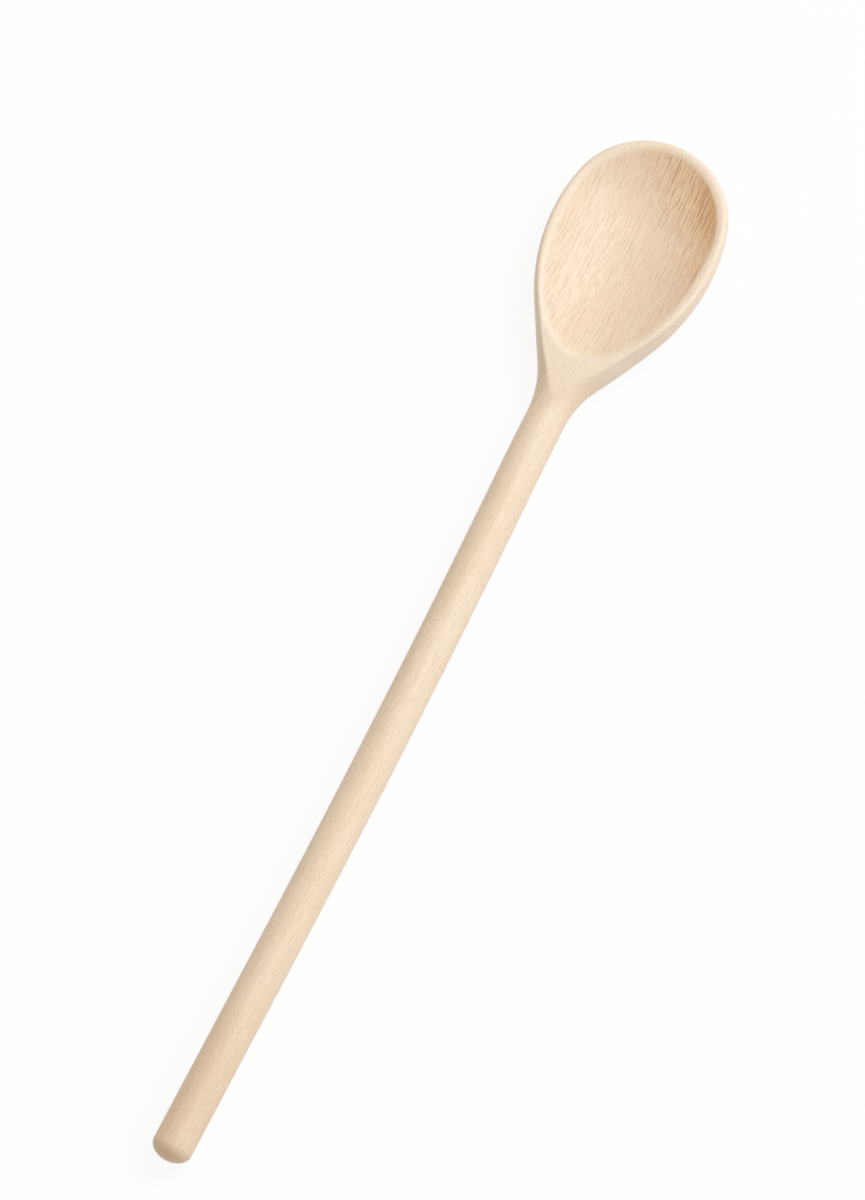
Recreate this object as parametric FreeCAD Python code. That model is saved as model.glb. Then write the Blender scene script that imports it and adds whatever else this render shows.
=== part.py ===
import FreeCAD, Part
import math
import os
from FreeCAD import Vector

# Beech cooking spoon turned from one board, lying with its hollow up.
# X runs along the head's axis to the tip, Z is up. Millimetres and degrees.

# Whole spoon
overall_length = 400.0

# Handle
handle_diameter = 14.0
grip_length = 80.0
end_dome_length = 5.0
neck_stub_length = 5.0
neck_turn_length = 20.0
neck_turn_angle = 0.97
bow_turn_angle = 2.06

# Turned outline of the head
head_length = 109.5
head_width = 61.4
widest_from_tip = 38.9
neck_flare_radius = 36.5
flank_radius = 68.3
flank_fullness_share = 0.848

# Planed face and rounded back
face_above_handle = 0.7
back_below_handle = 0.3
back_rise_length = 48.0
side_edge_thickness = 7.0
tip_edge_thickness = 6.6

# Hollow
bowl_depth = 9.0
bowl_side_rim = 3.6
bowl_flank_rim = 1.4
shoulder_rim_share = 0.83
bowl_tip_rim = 3.4

# Softened edges
rim_edge_radius = 0.6
face_edge_radius = 0.8
back_edge_radius = 3.0

# How far a cutting form runs past the wood
overrun = 4.0

# Faces that meet at more than this are a crease
crease_angle = 3.0

# Where the turned surface closes on itself, under the left flank
seam_angle = -30.0

# Stations along each edge of the outline, and halvings, that place the hollow
rim_station_count = 60
halving_count = 30

axis_x = Vector(1, 0, 0)
axis_y = Vector(0, 1, 0)
axis_z = Vector(0, 0, 1)
quarter = math.pi / 2
full_turn = math.degrees(math.tau)
under_half = -full_turn / 2
ellipse_weight_share = math.sqrt(1 / 2)
handle_radius = handle_diameter / 2
handle_length = overall_length - head_length
face_height = handle_radius + face_above_handle
back_height = -handle_radius - back_below_handle
board_thickness = face_height - back_height
half_width = head_width / 2
widest_x = head_length - widest_from_tip
bowl_width = head_width - 2 * bowl_side_rim


def arc(centre, radius, start, end):
    """Arc in the XY plane from one angle to another, in radians."""
    middle = (start + end) / 2
    points = [centre + Vector(math.cos(a), math.sin(a), 0) * radius for a in (start, middle, end)]
    return Part.Arc(*points).toShape()


def line(start, end):
    return Part.LineSegment(start, end).toShape()


def turned(edges, angle=full_turn):
    """Closed outline in the XY plane, swung about the X axis."""
    outline = Part.Face(Part.Wire(Part.__sortEdges__(edges)))
    return outline.revolve(Vector(0, 0, 0), axis_x, angle)


def neck_side_outline():
    """Flare, straight flank and side arc, from the handle out to the widest part."""
    # At this radius the side arc would run into the flare with no flank between
    rise = half_width - handle_radius
    fullest_radius = (widest_x**2 + rise**2) / (2 * rise) - neck_flare_radius
    side_radius = flank_fullness_share * fullest_radius
    neck = Vector(0, handle_radius + neck_flare_radius, 0)
    side = Vector(widest_x, half_width - side_radius, 0)
    gap = side - neck
    lean = math.asin((neck_flare_radius + side_radius) / gap.Length)
    flank_angle = lean + math.atan2(gap.y, gap.x)
    flare = arc(neck, neck_flare_radius, -quarter, flank_angle - quarter)
    side_arc = arc(side, side_radius, quarter + flank_angle, quarter)
    flank = line(flare.Vertexes[1].Point, side_arc.Vertexes[0].Point)
    return [flare, flank, side_arc]


def tip_side_outline():
    """Arc from the widest part, and the tip circle on the axis that touches it from inside."""
    side = Vector(widest_x, half_width - flank_radius, 0)
    reach = widest_from_tip
    tip_radius = (reach**2 + side.y**2 - flank_radius**2) / (2 * (reach - flank_radius))
    tip = Vector(head_length - tip_radius, 0, 0)
    touch_angle = math.atan2(-side.y, tip.x - side.x)
    return [arc(side, flank_radius, quarter, touch_angle), arc(tip, tip_radius, touch_angle, 0)]


def turned_head():
    """Neck stub and egg-shaped head, as they leave the lathe."""
    start = Vector(-neck_stub_length, 0, 0)
    start_rim = Vector(-neck_stub_length, handle_radius, 0)
    stub = line(start_rim, Vector(0, handle_radius, 0))
    closing = [line(start, start_rim), line(start, Vector(head_length, 0, 0))]
    blank = turned([stub] + neck_side_outline() + tip_side_outline() + closing)
    blank.rotate(Vector(0, 0, 0), axis_x, seam_angle)
    return blank


def sagitta_radius(half_chord, sagitta):
    return (half_chord**2 + sagitta**2) / (2 * sagitta)


def back_form():
    """Long barrel whose underside is the rounded back, level under the neck and rising to the tip."""
    back_radius = sagitta_radius(half_width, board_thickness - side_edge_thickness)
    rise_radius = sagitta_radius(back_rise_length, board_thickness - tip_edge_thickness)
    rise_start = head_length - back_rise_length
    rise_end = math.asin((back_rise_length + overrun) / rise_radius)
    centre = Vector(rise_start, back_radius - rise_radius, 0)
    rise = arc(centre, rise_radius, quarter, quarter - rise_end)
    far = rise.Vertexes[1].Point
    near = Vector(-neck_stub_length - overrun, back_radius, 0)
    level = line(near, Vector(rise_start, back_radius, 0))
    near_axis = Vector(near.x, 0, 0)
    far_axis = Vector(far.x, 0, 0)
    sides = [line(near, near_axis), line(near_axis, far_axis), line(far_axis, far)]
    barrel = turned([level, rise] + sides, under_half)
    barrel.translate(axis_z * (back_height + back_radius))
    return barrel


def bowl_form():
    """Ring swung about an axis high over the face, whose underside is the hollow."""
    swing_radius = sagitta_radius(bowl_width / 2, bowl_depth)
    swing_height = swing_radius - bowl_depth

    def narrowest_rim(outline, level_x, ramp_end):
        """Least flat left beside the outline by a hollow climbing from its level floor to the ramp's end."""
        ramp = ramp_end - level_x
        ramp_radius = sagitta_radius(ramp, bowl_depth)
        rims = []
        for p in [p for edge in outline for p in edge.discretize(rim_station_count)]:
            climb_share = max((p.x - level_x) / ramp, 0)
            if p.y > face_height and climb_share < 1:
                run = climb_share * ramp
                ring_radius = swing_radius - ramp_radius + math.sqrt(ramp_radius**2 - run**2)
                hollow = math.sqrt(ring_radius**2 - swing_height**2)
                rims.append(math.sqrt(p.y**2 - face_height**2) - hollow)
        return min(rims)

    def longest_reach(rim_at, rim, limit):
        """Greatest reach of the hollow that leaves this rim."""
        reach = 0
        step = limit
        for _ in range(halving_count):
            step = step / 2
            if rim_at(reach + step) > rim:
                reach = reach + step
        return reach

    flanks = neck_side_outline()
    shoulders = tip_side_outline()
    tip_end = head_length - bowl_tip_rim
    room = tip_end - widest_x

    def flank_rim(ramp_run):
        return narrowest_rim(flanks, widest_x, widest_x - ramp_run)

    def shoulder_rim(level_run):
        return narrowest_rim(shoulders, widest_x + level_run, tip_end)

    # The ramp runs as near the neck as the flanks allow, the floor as near the tip as the shoulders allow
    neck_run = longest_reach(flank_rim, bowl_flank_rim, widest_x)
    side_rim = math.sqrt(half_width**2 - face_height**2) - bowl_width / 2
    floor_run = longest_reach(shoulder_rim, shoulder_rim_share * side_rim, room)
    bowl_neck_radius = sagitta_radius(neck_run, bowl_depth)
    bowl_tip_radius = sagitta_radius(room - floor_run, bowl_depth)

    def sweep(radius, depth):
        return math.acos(1 - depth / radius)

    full_depth = bowl_depth + overrun
    neck_angle = quarter + sweep(bowl_neck_radius, full_depth)
    tip_angle = quarter - sweep(bowl_tip_radius, full_depth)
    neck_centre = Vector(widest_x, swing_radius - bowl_neck_radius, 0)
    tip_centre = Vector(widest_x + floor_run, swing_radius - bowl_tip_radius, 0)
    neck_arc = arc(neck_centre, bowl_neck_radius, neck_angle, quarter)
    tip_arc = arc(tip_centre, bowl_tip_radius, quarter, tip_angle)
    floor = line(neck_arc.Vertexes[1].Point, tip_arc.Vertexes[0].Point)
    lid = line(neck_arc.Vertexes[0].Point, tip_arc.Vertexes[1].Point)
    ring = turned([neck_arc, floor, tip_arc, lid], under_half)
    ring.translate(axis_z * (face_height + swing_height))
    return ring


def handle():
    """Domed grip, slightly bowed length, and the short turn the other way behind the neck."""
    join = Vector(-neck_stub_length, 0, 0)
    section = Part.Face(Part.Wire(Part.makeCircle(handle_radius, join, axis_x)))
    bow_length = handle_length - neck_stub_length - neck_turn_length - grip_length
    bow_centre = join + axis_y * (bow_length / math.radians(bow_turn_angle))
    bow = section.revolve(bow_centre, axis_z, -bow_turn_angle)

    end = Vector(join.x - grip_length, 0, 0)
    crown = Vector(end.x + end_dome_length, handle_radius, 0)
    dome = Part.BezierCurve()
    dome.setPoles([end, Vector(end.x, handle_radius, 0), crown])
    dome.setWeight(2, ellipse_weight_share)
    join_rim = Vector(join.x, handle_radius, 0)
    grip = turned([dome.toShape(), line(crown, join_rim), line(join_rim, join), line(join, end)])
    grip.rotate(bow_centre, axis_z, -bow_turn_angle)

    turn_centre = join - axis_y * (neck_turn_length / math.radians(neck_turn_angle))
    turn = section.revolve(turn_centre, axis_z, neck_turn_angle)
    rear = bow.fuse(grip)
    rear.rotate(turn_centre, axis_z, neck_turn_angle)
    return turn.fuse(rear)


def soft_back(body):
    """Rounds the long edge between the turned wall and the back, leaving the sawn end of the stub alone."""

    def creased(edge):
        faces = body.ancestorsOfType(edge, Part.Face)
        point = edge.valueAt((edge.FirstParameter + edge.LastParameter) / 2)
        normals = [f.normalAt(*f.Surface.parameter(point)) for f in faces]
        return len(normals) == 2 and normals[0].getAngle(normals[1]) > math.radians(crease_angle)

    below = face_height - tip_edge_thickness / 2
    edges = [e for e in body.Edges if creased(e) and e.BoundBox.XMax > 0 and e.BoundBox.ZMin < below]
    return body.makeFillet(back_edge_radius, edges)


def face_wires(body):
    """Outer arris of the planed face, then the rim of the hollow."""
    face = [f for f in body.Faces if isinstance(f.Surface, Part.Plane) and f.normalAt(0, 0).z > 0][0]
    rims = [w for w in face.Wires if not w.isSame(face.OuterWire)]
    return [face.OuterWire] + rims


# Turn the head, plane its face, round its back, mill its hollow, then soften the edges
span = head_width + overrun
waste = Part.makeBox(head_length + span, 2 * span, span, Vector(-span, -span, face_height))
head = turned_head().cut(waste).common(back_form()).cut(bowl_form())
head = soft_back(head)
head = head.makeFillet(rim_edge_radius, face_wires(head)[1].Edges)
head = head.makeFillet(face_edge_radius, face_wires(head)[0].Edges)

spoon = head.fuse(handle())
box = spoon.optimalBoundingBox()
spoon.translate(Vector(-box.Center.x, -box.Center.y, -box.ZMin))

os.makedirs("parts", exist_ok=True)
spoon.exportStep("parts/spoon.step")
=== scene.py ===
"""Beech cooking spoon lying with its hollow up, on a pale floor in soft studio light.

The wood is one closed surface, worked out in millimetres along the spoon's own axis (x from the
neck to the tip, y to the left, z up from the handle's axis) and then set down in the frame in metres.
"""

import math
import bpy
import numpy as np
from mathutils import Matrix, Vector


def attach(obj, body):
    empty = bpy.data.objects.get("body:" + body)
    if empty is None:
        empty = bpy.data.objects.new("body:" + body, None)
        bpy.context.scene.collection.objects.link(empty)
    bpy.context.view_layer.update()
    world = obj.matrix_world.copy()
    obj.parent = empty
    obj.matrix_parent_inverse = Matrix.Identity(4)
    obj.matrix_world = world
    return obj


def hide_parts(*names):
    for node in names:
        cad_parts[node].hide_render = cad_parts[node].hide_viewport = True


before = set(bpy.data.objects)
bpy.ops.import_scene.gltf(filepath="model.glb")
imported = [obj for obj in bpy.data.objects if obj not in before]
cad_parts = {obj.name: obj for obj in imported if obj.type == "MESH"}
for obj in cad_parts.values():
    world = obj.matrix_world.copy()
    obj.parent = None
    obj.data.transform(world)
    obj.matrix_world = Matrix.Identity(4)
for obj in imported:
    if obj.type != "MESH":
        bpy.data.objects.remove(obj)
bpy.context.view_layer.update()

# Where the neck joins the handle, and the handle's axis, in the frame in metres
NECK_X = 0.0905824
AXIS_HEIGHT = 0.0073
METRES_PER_MM = 0.001

# Handle, in millimetres
HANDLE_RADIUS = 7.0
HANDLE_LENGTH = 290.5
GRIP_LENGTH = 80.0
END_DOME_LENGTH = 5.0
NECK_STUB_LENGTH = 5.0
BOW_TURN = math.radians(2.06)
NECK_TURN = math.radians(0.97)
NECK_TURN_LENGTH = 20.0

# Turned outline of the head
HEAD_LENGTH = 109.5
HALF_WIDTH = 30.7
WIDEST_X = 70.6
FLARE_RADIUS = 36.5
SIDE_RADIUS = 68.3

# Planed face, rounded back and hollow
FACE_Z = 7.7
BACK_Z = -7.3
BACK_RISE_LENGTH = 48.0
SIDE_EDGE = 7.0
TIP_EDGE = 6.6
BOWL_DEPTH = 9.0
BOWL_HALF_WIDTH = 27.1
BOWL_NECK_RUN = 48.22
BOWL_TIP_X = 76.03
BOWL_TIP_RUN = 30.07

# Softened edges: crisp at the neck, worn rounder towards the wide part of the head
BACK_SOFT = 3.0
FACE_SOFT_NECK = 0.3
FACE_SOFT_WIDE = 1.0
RIM_SOFT_NECK = 0.3
RIM_SOFT_WIDE = 0.7
SOFT_FROM_X = 15.0
SOFT_TO_X = 60.0

# Least turned radius for which the softening of the back's edge is worked out
LEAST_RADIUS = 1.0

# Open grain fades in over these distances: up to the hollow's surface, and down from the face
MILLED_FADE = (-0.8, -0.1)
RIM_FADE = (0.2, 1.6)

# Grid of the surface: rings along the spoon, and points from the top of a ring round to its underside
DOME_RINGS = 22
HANDLE_RINGS = 70
NECK_RINGS = 70
HEAD_RINGS = 130
TOP_POINTS = 48
EDGE_POINTS = 72
BACK_POINTS = 30
EDGE_INSET = 5.0
RINGS_TURN_X = 50.0
SPINE_END_X = 86.0

# Rays of the grid: crowding of points to the rim, half width where rays stand upright, reach, halvings
TOP_CROWDING = 1.7
UPRIGHT_WIDTH = 10.0
RAY_REACH = 2.5 * HANDLE_RADIUS
RAY_HALVINGS = 40
UP = math.pi / 2
DOWN = -math.pi / 2


def sagitta_radius(half_chord, sagitta):
    """Radius of the arc that rises by the sagitta over the half chord."""
    return (half_chord**2 + sagitta**2) / (2 * sagitta)


def smooth_step(x, low, high):
    """Rise from 0 at low to 1 at high, level at both ends."""
    t = np.clip((x - low) / (high - low), 0, 1)
    return t * t * (3 - 2 * t)


def outline():
    """Places where the turned outline's flare, flank, side arc and tip circle meet."""
    neck = np.array([0, HANDLE_RADIUS + FLARE_RADIUS])
    side = np.array([WIDEST_X, HALF_WIDTH - SIDE_RADIUS])
    gap = side - neck
    flank = math.asin((FLARE_RADIUS + SIDE_RADIUS) / np.hypot(*gap)) + math.atan2(gap[1], gap[0])
    reach = HEAD_LENGTH - WIDEST_X
    tip_radius = (reach**2 + side[1] ** 2 - SIDE_RADIUS**2) / (2 * (reach - SIDE_RADIUS))
    tip_x = HEAD_LENGTH - tip_radius
    touch = math.atan2(-side[1], tip_x - side[0])
    return {
        "flank": flank,
        "flare_end": FLARE_RADIUS * math.sin(flank),
        "flank_start_y": HANDLE_RADIUS + FLARE_RADIUS * (1 - math.cos(flank)),
        "side_start": WIDEST_X - SIDE_RADIUS * math.sin(flank),
        "side_y": side[1],
        "tip_radius": tip_radius,
        "tip_x": tip_x,
        "touch": touch,
        "tip_start": tip_x + tip_radius * math.cos(touch),
    }


OUT = outline()


def turned_distance(x, r):
    """Signed distance from the lathe-turned surface at axial place x and distance r from the axis."""
    shaft = r - HANDLE_RADIUS
    flare = FLARE_RADIUS - np.hypot(x, r - HANDLE_RADIUS - FLARE_RADIUS)
    rise = OUT["flank_start_y"] + (x - OUT["flare_end"]) * math.tan(OUT["flank"])
    flank = (r - rise) * math.cos(OUT["flank"])
    side = np.hypot(x - WIDEST_X, r - OUT["side_y"]) - SIDE_RADIUS
    tip = np.hypot(x - OUT["tip_x"], r) - OUT["tip_radius"]
    places = [x < 0, x < OUT["flare_end"], x < OUT["side_start"], x < OUT["tip_start"]]
    return np.select(places, [shaft, flare, flank, side], tip)


def turned_radius(x):
    """Radius of the turned outline at x: shaft, flare arc, straight flank, side arc, tip circle."""
    flare = HANDLE_RADIUS + FLARE_RADIUS - np.sqrt(np.maximum(FLARE_RADIUS**2 - x**2, 0))
    flank = OUT["flank_start_y"] + (x - OUT["flare_end"]) * math.tan(OUT["flank"])
    side = OUT["side_y"] + np.sqrt(np.maximum(SIDE_RADIUS**2 - (x - WIDEST_X) ** 2, 0))
    tip = np.sqrt(np.maximum(OUT["tip_radius"] ** 2 - (x - OUT["tip_x"]) ** 2, 0))
    places = [x < 0, x < OUT["flare_end"], x < OUT["side_start"], x < OUT["tip_start"]]
    return np.select(places, [np.full_like(x, HANDLE_RADIUS), flare, flank, side], tip)


BACK_RADIUS = sagitta_radius(HALF_WIDTH, FACE_Z - BACK_Z - SIDE_EDGE)
RISE_RADIUS = sagitta_radius(BACK_RISE_LENGTH, FACE_Z - BACK_Z - TIP_EDGE)
SWING_RADIUS = sagitta_radius(BOWL_HALF_WIDTH, BOWL_DEPTH)
SWING_Z = FACE_Z + SWING_RADIUS - BOWL_DEPTH
BOWL_NECK_RADIUS = sagitta_radius(BOWL_NECK_RUN, BOWL_DEPTH)
BOWL_TIP_RADIUS = sagitta_radius(BOWL_TIP_RUN, BOWL_DEPTH)


def drop(radius, run):
    """How far an arc of this radius has left its tangent after this run."""
    return radius - np.sqrt(np.maximum(radius**2 - run**2, 0))


def back_ring(x):
    """Radius of the barrel whose underside is the back, level at first and rising to the tip."""
    return BACK_RADIUS - drop(RISE_RADIUS, np.maximum(x - HEAD_LENGTH + BACK_RISE_LENGTH, 0))


def bowl_ring(x):
    """Radius of the ring whose underside is the hollow, with a long ramp to the neck and a short one
    to the tip."""
    ramp = drop(BOWL_NECK_RADIUS, np.maximum(WIDEST_X - x, 0))
    return SWING_RADIUS - ramp - drop(BOWL_TIP_RADIUS, np.maximum(x - BOWL_TIP_X, 0))


def soft_meet(a, b, radius):
    """Greater of two distances, with the edge where they meet rounded to the radius."""
    rounded = np.hypot(np.maximum(a + radius, 0), np.maximum(b + radius, 0))
    return np.minimum(np.maximum(a, b), -radius) + rounded


def back_soft(x):
    """Softening of the back's edge at x that rounds it as a ball of the full radius does.

    It comes from the angle at which the turned circle and the back's circle cross, set against a square
    crossing. There is none along the handle, where the back passes just under the wood.
    """
    turned = np.maximum(turned_radius(x), LEAST_RADIUS)
    ring = back_ring(x)
    apart = BACK_Z + BACK_RADIUS
    crossing = np.clip((turned**2 + ring**2 - apart**2) / (2 * turned * ring), 0, 1)
    square = 1 - math.sqrt(0.5)
    return BACK_SOFT * (1 - np.sqrt((1 + crossing) / 2)) / square


def wood_distance(p):
    """Signed distance from the wood: turned form, cut by the back, the face and the hollow, edges
    softened."""
    x, y, z = p[..., 0], p[..., 1], p[..., 2]
    wear = smooth_step(x, SOFT_FROM_X, SOFT_TO_X)
    back = np.hypot(y, z - BACK_Z - BACK_RADIUS) - back_ring(x)
    hollow = bowl_ring(x) - np.hypot(y, z - SWING_Z)
    form = soft_meet(turned_distance(x, np.hypot(y, z)), back, back_soft(x))
    form = soft_meet(form, z - FACE_Z, FACE_SOFT_NECK + (FACE_SOFT_WIDE - FACE_SOFT_NECK) * wear)
    return soft_meet(form, hollow, RIM_SOFT_NECK + (RIM_SOFT_WIDE - RIM_SOFT_NECK) * wear)


def middle_height(x, y):
    """Height halfway between the wood's top and its underside."""
    wall = np.sqrt(np.maximum(turned_radius(x) ** 2 - y**2, 0))
    hollow = SWING_Z - np.sqrt(np.maximum(bowl_ring(x) ** 2 - y**2, 0))
    top = np.minimum(np.minimum(wall, FACE_Z), hollow)
    back = BACK_Z + BACK_RADIUS - np.sqrt(np.maximum(back_ring(x) ** 2 - y**2, 0))
    return (top + np.maximum(back, -wall)) / 2


def ring_places():
    """Per ring: place on the spine, point on the outline and the outline's way out, from the domed end
    to the tip. Rings stand square across handle and neck, and turn with the outline round the head."""
    level = np.concatenate([
        np.linspace(END_DOME_LENGTH - HANDLE_LENGTH, 0, HANDLE_RINGS, endpoint=False),
        np.linspace(0, RINGS_TURN_X, NECK_RINGS, endpoint=False),
    ])
    # Along the side arc and then the tip circle, evenly by length
    first = math.acos((RINGS_TURN_X - WIDEST_X) / SIDE_RADIUS)
    side_length = SIDE_RADIUS * (first - OUT["touch"])
    way = np.linspace(0, side_length + OUT["tip_radius"] * OUT["touch"], HEAD_RINGS)
    on_side = way < side_length
    tip_angle = OUT["touch"] - (way - side_length) / OUT["tip_radius"]
    angle = np.where(on_side, first - way / SIDE_RADIUS, tip_angle)
    out = np.stack([np.cos(angle), np.sin(angle)], 1)
    side = np.array([WIDEST_X, OUT["side_y"]]) + SIDE_RADIUS * out
    tip = np.array([OUT["tip_x"], 0]) + OUT["tip_radius"] * out
    edge = np.where(on_side[:, None], side, tip)
    spine = RINGS_TURN_X + (SPINE_END_X - RINGS_TURN_X) * way / way[-1]

    level_edge = np.stack([level, turned_radius(level)], 1)
    level_out = np.stack([np.zeros_like(level), np.ones_like(level)], 1)
    # The way out turns from square across the neck to square to the outline where the rings start to turn
    lean = smooth_step(level, 0, RINGS_TURN_X)[:, None]
    level_out = level_out + lean * (out[0] - level_out)
    level_out /= np.linalg.norm(level_out, axis=1, keepdims=True)
    pairs = ((level, spine), (level_edge, edge), (level_out, out))
    return [np.concatenate(pair) for pair in pairs]


def half_rings():
    """Right half of every ring: rays cast from the middle of the wood, up along the top, out round the
    edge and down along the back, each stopped by halving where the signed distance changes sign."""
    spine, edge, out = ring_places()
    spine_xy = np.stack([spine, np.zeros_like(spine)], 1)
    on_handle = spine < 0
    turning = spine > RINGS_TURN_X

    # Keel: the line inside the edge from which the rays fan out
    slim = smooth_step(edge[:, 1], HANDLE_RADIUS, HALF_WIDTH)
    inset = np.where(turning, EDGE_INSET, HANDLE_RADIUS + (EDGE_INSET - HANDLE_RADIUS) * slim)
    keel = edge - inset[:, None] * out
    keel[:, 1] = np.maximum(keel[:, 1], 0)
    keel[on_handle] = spine_xy[on_handle]

    # Share of the way from spine to keel, and ray angle, of each point from the top round to the underside
    top = 1 - (1 - np.arange(TOP_POINTS) / TOP_POINTS) ** TOP_CROWDING
    under = 1 - (np.arange(BACK_POINTS) + 1) / BACK_POINTS
    share = np.concatenate([top, np.ones(EDGE_POINTS + 1), under])
    fan = np.linspace(UP, DOWN, EDGE_POINTS + 1)
    upright = np.concatenate([np.full(TOP_POINTS, UP), fan, np.full(BACK_POINTS, DOWN)])
    round_about = np.linspace(UP, DOWN, share.size)

    spread = np.where(turning, 1, smooth_step(keel[:, 1], 0, UPRIGHT_WIDTH))[:, None]
    angle = (1 - spread) * round_about + spread * upright
    plan = spine_xy[:, None] + share[None, :, None] * (keel - spine_xy)[:, None]
    height = np.where(on_handle[:, None], 0, middle_height(plan[..., 0], plan[..., 1]))
    base = np.concatenate([plan, height[..., None]], 2)
    ray = np.stack([np.cos(angle) * out[:, :1], np.cos(angle) * out[:, 1:], np.sin(angle)], 2)

    near = np.zeros(angle.shape)
    far = np.full(angle.shape, RAY_REACH)
    for _ in range(RAY_HALVINGS):
        reach = (near + far) / 2
        inside = wood_distance(base + reach[..., None] * ray) < 0
        near = np.where(inside, reach, near)
        far = np.where(inside, far, reach)
    return base + near[..., None] * ray


def along_arc(length, heading, bend):
    """Way gone back and sideways along an arc that starts with this heading and bends this much per
    millimetre."""
    end = heading + bend * length
    return (np.sin(heading) - np.sin(end)) / bend, (np.cos(heading) - np.cos(end)) / bend


def bowed(p):
    """Bends the straight handle: a short arc to the right behind the neck, a long one to the left, a
    straight grip."""
    bow_length = HANDLE_LENGTH - NECK_STUB_LENGTH - NECK_TURN_LENGTH - GRIP_LENGTH
    along = np.maximum(-NECK_STUB_LENGTH - p[..., 0], 0)
    first = np.minimum(along, NECK_TURN_LENGTH)
    second = np.clip(along - NECK_TURN_LENGTH, 0, bow_length)
    beyond = np.maximum(along - NECK_TURN_LENGTH - bow_length, 0)
    first_x, first_y = along_arc(first, 0, -NECK_TURN / NECK_TURN_LENGTH)
    second_x, second_y = along_arc(second, -NECK_TURN, BOW_TURN / bow_length)
    heading = second * BOW_TURN / bow_length - first * NECK_TURN / NECK_TURN_LENGTH
    x = np.maximum(p[..., 0], -NECK_STUB_LENGTH) + first_x + second_x
    x = x - beyond * np.cos(heading) + p[..., 1] * np.sin(heading)
    y = first_y + second_y + beyond * np.sin(heading) + p[..., 1] * np.cos(heading)
    return np.stack([x, y, p[..., 2]], -1)


def cut_open(p):
    """Share by which the milling has cut the fibres open: 1 in the hollow, fading to 0 at its rim."""
    hollow = bowl_ring(p[:, 0]) - np.hypot(p[:, 1], p[:, 2] - SWING_Z)
    return smooth_step(hollow, *MILLED_FADE) * smooth_step(FACE_Z - p[:, 2], *RIM_FADE)


def spoon_surface():
    """Closed grid of rings: domed end, handle, neck and head. The last ring is folded flat along the tip."""
    half = half_rings()
    mirror = half[:, -2:0:-1] * np.array([1, -1, 1])
    rings = np.concatenate([half, mirror], 1)
    around = rings.shape[1]
    turn = np.linspace(0, math.pi / 2, DOME_RINGS, endpoint=False)[:0:-1]
    dome = rings[:1] * np.cos(turn)[:, None, None]
    dome[..., 0] = (-HANDLE_LENGTH + END_DOME_LENGTH - END_DOME_LENGTH * np.sin(turn))[:, None]
    rings = np.concatenate([dome, rings])
    count = rings.shape[0]
    points = np.concatenate([rings[:-1].reshape(-1, 3), half[-1], [[-HANDLE_LENGTH, 0, 0]]])

    ids = np.arange((count - 1) * around).reshape(count - 1, around)
    column = np.arange(around)
    fold = ids.size + np.minimum(column, around - column)
    ids = np.concatenate([ids, fold[None]])
    after = np.roll(ids, -1, axis=1)
    quads = np.stack([ids[:-1], ids[1:], after[1:], after[:-1]], -1).reshape(-1, 4)
    pole = np.full(around, len(points) - 1)
    caps = np.stack([pole, ids[0], after[0]], -1)
    open_grain = cut_open(points)
    points = bowed(points) * METRES_PER_MM
    return points + np.array([NECK_X, 0, AXIS_HEIGHT]), quads, caps, open_grain


def mesh_piece(name, points, quads, caps, open_grain):
    """Smooth-shaded object of the grid's quads and its cap, with the share of open grain at each point."""
    mesh = bpy.data.meshes.new(name)
    mesh.from_pydata(points.tolist(), [], quads.tolist() + caps.tolist())
    mesh.polygons.foreach_set("use_smooth", np.ones(len(mesh.polygons), bool))
    mesh.update()
    mesh.attributes.new("open_grain", "FLOAT", "POINT").data.foreach_set("value", open_grain)
    piece = bpy.data.objects.new(name, mesh)
    bpy.context.scene.collection.objects.link(piece)
    return piece


class Nodes:
    """Short hand for adding and linking shader nodes."""

    def __init__(self, tree):
        self.tree = tree
        tree.nodes.clear()

    def add(self, kind, inputs=None, **settings):
        """New node, set up first and then fed with links and plain values."""
        node = self.tree.nodes.new(kind)
        for key, value in settings.items():
            setattr(node, key, value)
        for key, value in (inputs or {}).items():
            if isinstance(value, bpy.types.NodeSocket):
                self.tree.links.new(value, node.inputs[key])
            else:
                node.inputs[key].default_value = value
        return node

    def math(self, operation, *values):
        """Result of one operation on links or numbers."""
        return self.add("ShaderNodeMath", dict(enumerate(values)), operation=operation).outputs[0]

    def product(self, first, *others):
        """All of these multiplied."""
        for other in others:
            first = self.math("MULTIPLY", first, other)
        return first

    def ramp(self, value, low, high, start=0.0, end=1.0):
        """Smooth change from start to end while the value goes from low to high."""
        inputs = {"Value": value, "From Min": low, "From Max": high, "To Min": start, "To Max": end}
        return self.add("ShaderNodeMapRange", inputs, interpolation_type="SMOOTHSTEP").outputs["Result"]

    def tint(self, share, under, over):
        """One colour laid over another by this share."""
        node = self.add("ShaderNodeMix", {"Factor": share, "A": under, "B": over}, data_type="RGBA")
        return node.outputs["Result"]


def linear(red, green, blue):
    """Scene colour of a colour written as it shows, 0 to 255."""
    c = np.array([red, green, blue]) / 255
    c = np.where(c <= 0.04045, c / 12.92, ((c + 0.055) / 1.055) ** 2.4)
    return (*c.tolist(), 1.0)


# Figure of the beech: lumps this many millimetres along, across and down through the wood, and detail
BROAD_FIGURE = (60, 12, 12, 1.0)
STREAK_FIGURE = (40, 1.1, 1.1, 2.0)
FIBRE_FIGURE = (9, 0.35, 0.35, 2.0)
FLECK_FIGURE = (1.0, 0.45, 0.45, 0.0)

# Noise at which each figure starts to show and at which it is full, and the streaks left in the hollow
BROAD_RANGE = (0.3, 0.7)
FIBRE_RANGE = (0.4, 0.75)
FLECK_RANGE = (0.5, 0.75)
STREAKS_LEFT_IN_HOLLOW = 0.3

# Pores: millimetres of wood to one, along and across, and the share of that width that it takes
LONG_PORES = (15, 1.9, 0.2)
SHORT_PORES = (3.8, 1.05, 0.36)

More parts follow.
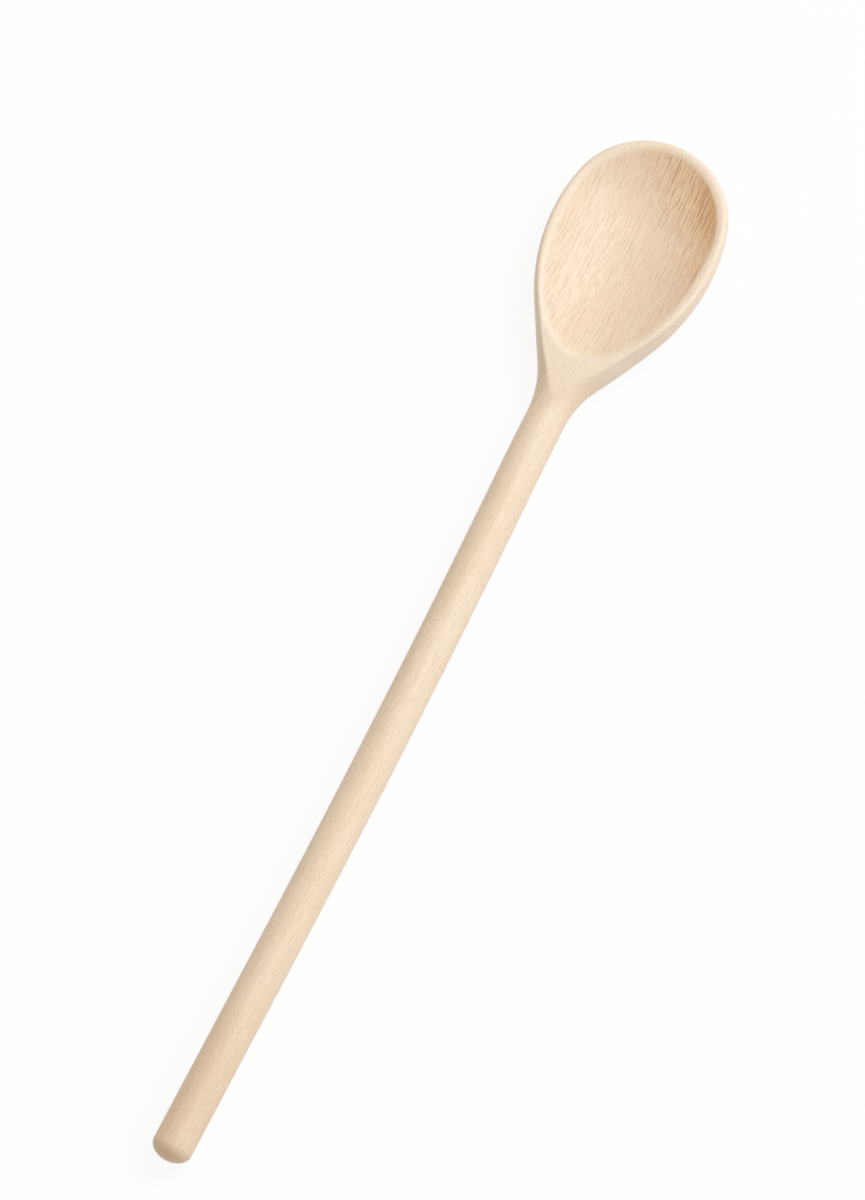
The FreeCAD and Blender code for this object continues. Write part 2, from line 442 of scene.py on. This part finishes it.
# Make of a pore: scatter, darkest share of its width, where its ends fade, spread of strength, faintest one
PORE_SCATTER = 0.75
PORE_CORE = 0.4
PORE_ENDS = (0.6, 0.3)
PORE_PICK = (0.2, 0.8)
FAINTEST_PORE = 0.35

# How far the pores show: in the hollow, added as painted shade on the hollow's walls that turn from the
# lamps, by the neck, on the grip
PORES_IN_HOLLOW = 0.2
PORES_IN_PAINTED_SHADE = 0.42
PORES_BY_NECK = 0.1
PORES_ON_GRIP = 0.2

# Painted shade on the hollow's walls that turn from the lamps: the way they turn from, the way of the
# darkest ones, and the cosines over which each comes in
PAINTED_SHADE_WAY = (0.74, -0.60, -0.29)
PAINTED_SHADE_RANGE = (-0.36, -0.74)
DEEPEST_SHADE_WAY = (0.45, -0.85, -0.28)
DEEPEST_SHADE_RANGE = (-0.59, -0.76)

# Share of open grain over which the painted shade on the hollow's walls comes in
OPEN_RANGE = (0.0, 0.3)

# Slopes over which end grain, and the pores of a level surface, come in
END_GRAIN_RANGE = (0.64, 0.8)
LEVEL_RANGE = (0.5, 0.85)

# Where the handled end starts to darken and is darkest, and where painted light makes the head paler, in
# metres
GRIP_DARKENS = (-0.12, -0.20)
HEAD_PAINTED_LIGHT_RANGE = (0.095, 0.115)

# Tones as they show, 0 to 255, each with the share of it where it is fullest
PALE_TONE = (247, 228, 206)
BROAD_TONE = ((244, 222, 197), 1.0)
STREAK_TONE = ((234, 206, 175), 0.2)
FIBRE_TONE = ((229, 199, 166), 0.4)
FLECK_TONE = ((218, 184, 148), 0.32)
# Painted light: paler, whiter tone on the head outside the hollow
HEAD_PAINTED_LIGHT_TONE = ((253, 240, 226), 0.25)
GRIP_TONE = ((222, 190, 154), 0.36)
END_GRAIN_TONE = ((212, 174, 134), 0.28)
# Partly the cut-open wood of the hollow, partly painted shade in it
HOLLOW_GRAIN_AND_SHADE_TONE = ((230, 202, 172), 0.2)
# Painted shade, warmer and then darker, on the hollow's walls that turn from the lamps
PAINTED_SHADE_TONE = ((254, 208, 158), 0.5)
DEEPEST_SHADE_TONE = ((214, 164, 106), 0.5)
PORE_TONE = ((168, 117, 74), 1.0)

# Sanded surface: relief in metres, its strength, the fibres' part in it beside the pores, and roughness
RELIEF = 0.00016
RELIEF_STRENGTH = 0.8
FIBRE_RELIEF = 0.25
ROUGHNESS = (0.40, 0.5)


def beech():
    """Pale beech: faint broad tone and fine fibres all over, and thin dark pore lines along the grain where
    the hollow cuts it open.
    Painted shade makes the hollow's walls at the tip and on the right warmer and darker; painted light makes
    the head paler outside the hollow."""
    material = bpy.data.materials.new("beech")
    material.use_nodes = True
    n = Nodes(material.node_tree)
    coordinates = n.add("ShaderNodeTexCoord").outputs
    place = coordinates["Object"]
    normal = coordinates["Normal"]

    def laid_out(*sizes):
        """Place counted in steps of these millimetres along, across and down, where a 0 leaves one out."""
        steps = [1 / (METRES_PER_MM * size) if size else 0 for size in sizes]
        return n.add("ShaderNodeMapping", {"Vector": place, "Scale": steps}).outputs["Vector"]

    def figure(along, across, deep, detail):
        """Noise in lumps of these millimetres."""
        inputs = {"Vector": laid_out(along, across, deep), "Scale": 1.0, "Detail": detail}
        return n.add("ShaderNodeTexNoise", inputs).outputs["Fac"]

    def pores(along, across, share):
        """Thin dashes of uneven strength: one about the middle of each patch of these millimetres, as wide
        as this share of the patch, fading to its ends."""
        laid = laid_out(along, across, 0)
        inputs = {"Vector": laid, "Scale": 1.0, "Randomness": PORE_SCATTER}
        patch = n.add("ShaderNodeTexVoronoi", inputs, voronoi_dimensions="2D").outputs
        off = n.add("ShaderNodeVectorMath", {0: laid, 1: patch["Position"]}, operation="SUBTRACT")
        off = n.add("ShaderNodeSeparateXYZ", {"Vector": off.outputs["Vector"]}).outputs
        thin = n.ramp(n.math("ABSOLUTE", off["Y"]), share / 2, PORE_CORE * share / 2)
        short = n.ramp(n.math("ABSOLUTE", off["X"]), *PORE_ENDS)
        return n.product(thin, short, n.ramp(patch["Color"], *PORE_PICK, FAINTEST_PORE, 1.0))

    def facing(way, low, high):
        """Mask from the cosine between the surface's normal and this way."""
        cosine = n.add("ShaderNodeVectorMath", {0: normal, 1: way}, operation="DOT_PRODUCT")
        return n.ramp(cosine.outputs["Value"], low, high)

    def stained(wood, mask, tone, share):
        """The wood with a tone laid over it where the mask is, by this share at most."""
        return n.tint(n.product(mask, share), wood, linear(*tone))

    streak = figure(*STREAK_FIGURE)
    fibre = figure(*FIBRE_FIGURE)
    along = n.add("ShaderNodeSeparateXYZ", {"Vector": place}).outputs["X"]
    slope = n.add("ShaderNodeSeparateXYZ", {"Vector": normal}).outputs

    # Painted shade: the hollow's walls at the tip and on the right, which turn from the lamps, are tinted
    # warmer and darker, darkest on the steepest
    hollow = n.add("ShaderNodeAttribute", attribute_name="open_grain").outputs["Fac"]
    turned = n.math("SUBTRACT", 1.0, hollow)
    painted_shade = n.product(facing(PAINTED_SHADE_WAY, *PAINTED_SHADE_RANGE), n.ramp(hollow, *OPEN_RANGE))
    deepest_shade = n.product(facing(DEEPEST_SHADE_WAY, *DEEPEST_SHADE_RANGE), painted_shade)
    end_grain = n.ramp(n.math("ABSOLUTE", slope["X"]), *END_GRAIN_RANGE)

    # Pores show in the hollow, stronger in its painted shade, and fainter where the turned wood lies level
    level = n.ramp(n.math("ABSOLUTE", slope["Z"]), *LEVEL_RANGE)
    on_level = n.product(level, n.ramp(along, *GRIP_DARKENS, PORES_BY_NECK, PORES_ON_GRIP))
    in_hollow = n.product(hollow, n.math("ADD", n.product(painted_shade, PORES_IN_PAINTED_SHADE), PORES_IN_HOLLOW))
    pore = n.math("MAXIMUM", pores(*LONG_PORES), pores(*SHORT_PORES))
    pore = n.product(pore, n.math("ADD", in_hollow, on_level))

    streaks_left = n.ramp(hollow, 0.0, 1.0, 1.0, STREAKS_LEFT_IN_HOLLOW)
    wood = stained(linear(*PALE_TONE), n.ramp(figure(*BROAD_FIGURE), *BROAD_RANGE), *BROAD_TONE)
    wood = stained(wood, n.product(n.ramp(streak, *FIBRE_RANGE), streaks_left), *STREAK_TONE)
    wood = stained(wood, n.ramp(fibre, *FIBRE_RANGE), *FIBRE_TONE)
    wood = stained(wood, n.product(n.ramp(figure(*FLECK_FIGURE), *FLECK_RANGE), turned), *FLECK_TONE)
    # Painted light: the head outside the hollow paler and whiter
    wood = stained(wood, n.product(n.ramp(along, *HEAD_PAINTED_LIGHT_RANGE), turned), *HEAD_PAINTED_LIGHT_TONE)
    wood = stained(wood, n.ramp(along, *GRIP_DARKENS), *GRIP_TONE)
    wood = stained(wood, end_grain, *END_GRAIN_TONE)
    # The hollow darker and warmer: partly its cut-open wood, partly painted shade
    wood = stained(wood, n.ramp(hollow, 0.0, 1.0), *HOLLOW_GRAIN_AND_SHADE_TONE)
    # Painted shade on the hollow's walls that turn from the lamps
    wood = stained(wood, painted_shade, *PAINTED_SHADE_TONE)
    wood = stained(wood, deepest_shade, *DEEPEST_SHADE_TONE)
    wood = stained(wood, pore, *PORE_TONE)

    height = n.math("SUBTRACT", n.product(fibre, FIBRE_RELIEF), pore)
    bump = n.add("ShaderNodeBump", {"Height": height, "Strength": RELIEF_STRENGTH, "Distance": RELIEF})
    shader = n.add("ShaderNodeBsdfPrincipled", {
        "Base Color": wood,
        "Roughness": n.ramp(fibre, *BROAD_RANGE, *ROUGHNESS),
        "Normal": bump.outputs["Normal"],
    })
    n.add("ShaderNodeOutputMaterial", {"Surface": shader.outputs["BSDF"]})
    return material


# Floor: half size in metres, grey in bounced light, grey that carries the shadow, and glow
FLOOR_HALF_SIZE = 4.0
FLOOR_GREY = (0.8, 0.8, 0.8, 1.0)
SHADOW_GREY = (0.09, 0.09, 0.09, 1.0)
FLOOR_GLOW = 0.907

# Light: the sky as it fills and as it is seen, and the lamps
SKY_FILL = (0.497, 0.441, 0.376, 1.0)
SKY_SEEN = (1.0, 1.0, 1.0, 1.0)
LAMP_COLOUR = (0.855, 0.93, 1.0)


def seen_directly(n):
    """1 for rays that show the ground or sky as background: from the camera, in gloss and through glass."""
    path = n.add("ShaderNodeLightPath").outputs
    seen = n.math("MAXIMUM", path["Is Camera Ray"], path["Is Glossy Ray"])
    return n.math("MAXIMUM", seen, path["Is Transmission Ray"])


def floor():
    """Wide pale square. Seen directly it glows near white and keeps a faint shadow."""
    size = FLOOR_HALF_SIZE
    corners = [(-size, -size, 0), (size, -size, 0), (size, size, 0), (-size, size, 0)]
    mesh = bpy.data.meshes.new("floor")
    mesh.from_pydata(corners, [], [(0, 1, 2, 3)])
    material = bpy.data.materials.new("pale_floor")
    material.use_nodes = True
    n = Nodes(material.node_tree)
    matt = n.add("ShaderNodeBsdfDiffuse", {"Color": FLOOR_GREY}).outputs[0]
    faint = n.add("ShaderNodeBsdfDiffuse", {"Color": SHADOW_GREY}).outputs[0]
    glow = n.add("ShaderNodeEmission", {"Strength": FLOOR_GLOW}).outputs[0]
    lit = n.add("ShaderNodeAddShader", {0: faint, 1: glow}).outputs[0]
    mix = n.add("ShaderNodeMixShader", {0: seen_directly(n), 1: matt, 2: lit}).outputs[0]
    n.add("ShaderNodeOutputMaterial", {"Surface": mix})
    mesh.materials.append(material)
    ground = bpy.data.objects.new("floor", mesh)
    bpy.context.scene.collection.objects.link(ground)


# Camera: lean of the view from straight above, lean of the spoon in the picture, aim, distance and lens
LEAN_TO_HANDLE = 0.300
LEAN_TO_RIGHT = 0.188
SPOON_LEAN = math.radians(26.89)
AIM = Vector((0.01471, 0.00669, AXIS_HEIGHT))
CAMERA_DISTANCE = 2.2
LENS = 193.5


def picture_axes():
    """Right, up and towards the camera, in the frame: the spoon's axis seen along the view, turned by its
    lean in the picture."""
    towards = Vector((-LEAN_TO_HANDLE, -LEAN_TO_RIGHT, 1)).normalized()
    along = Vector((1, 0, 0))
    along = (along - along.dot(towards) * towards).normalized()
    across = along.cross(towards)
    right = along * math.sin(SPOON_LEAN) + across * math.cos(SPOON_LEAN)
    up = along * math.cos(SPOON_LEAN) - across * math.sin(SPOON_LEAN)
    return right, up, towards


def camera():
    """Long lens at its distance from the aim, level with the picture's axes."""
    right, up, towards = picture_axes()
    data = bpy.data.cameras.new("camera")
    data.lens = LENS
    eye = bpy.data.objects.new("camera", data)
    bpy.context.scene.collection.objects.link(eye)
    turn = Matrix((right, up, towards)).transposed().to_4x4()
    eye.matrix_world = Matrix.Translation(AIM + towards * CAMERA_DISTANCE) @ turn
    bpy.context.scene.camera = eye


def lamp(name, right, up, towards, power, size):
    """Square soft lamp that faces the aim, at a place given in metres along the picture's axes from it."""
    axes = picture_axes()
    offset = axes[0] * right + axes[1] * up + axes[2] * towards
    data = bpy.data.lights.new(name, "AREA")
    data.energy = power
    data.color = LAMP_COLOUR
    data.size = size
    light = bpy.data.objects.new(name, data)
    bpy.context.scene.collection.objects.link(light)
    turn = offset.to_track_quat("Z", "Y").to_matrix().to_4x4()
    light.matrix_world = Matrix.Translation(AIM + offset) @ turn


def sky():
    """Dim warm surroundings that fill the shadows, plain white where seen directly."""
    world = bpy.data.worlds.new("studio")
    bpy.context.scene.world = world
    world.use_nodes = True
    n = Nodes(world.node_tree)
    colour = n.tint(seen_directly(n), SKY_FILL, SKY_SEEN)
    background = n.add("ShaderNodeBackground", {"Color": colour})
    n.add("ShaderNodeOutputWorld", {"Surface": background.outputs[0]})


spoon = mesh_piece("spoon_wood", *spoon_surface())
spoon.data.materials.append(beech())
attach(spoon, "root")
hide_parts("spoon")

floor()
sky()
lamp("key", right=1.25, up=1.85, towards=1.9, power=41.0, size=1.35)
lamp("fill", right=2.6, up=0.6, towards=2.2, power=32.0, size=2.6)
camera()
bpy.context.scene.view_settings.view_transform = "Standard"
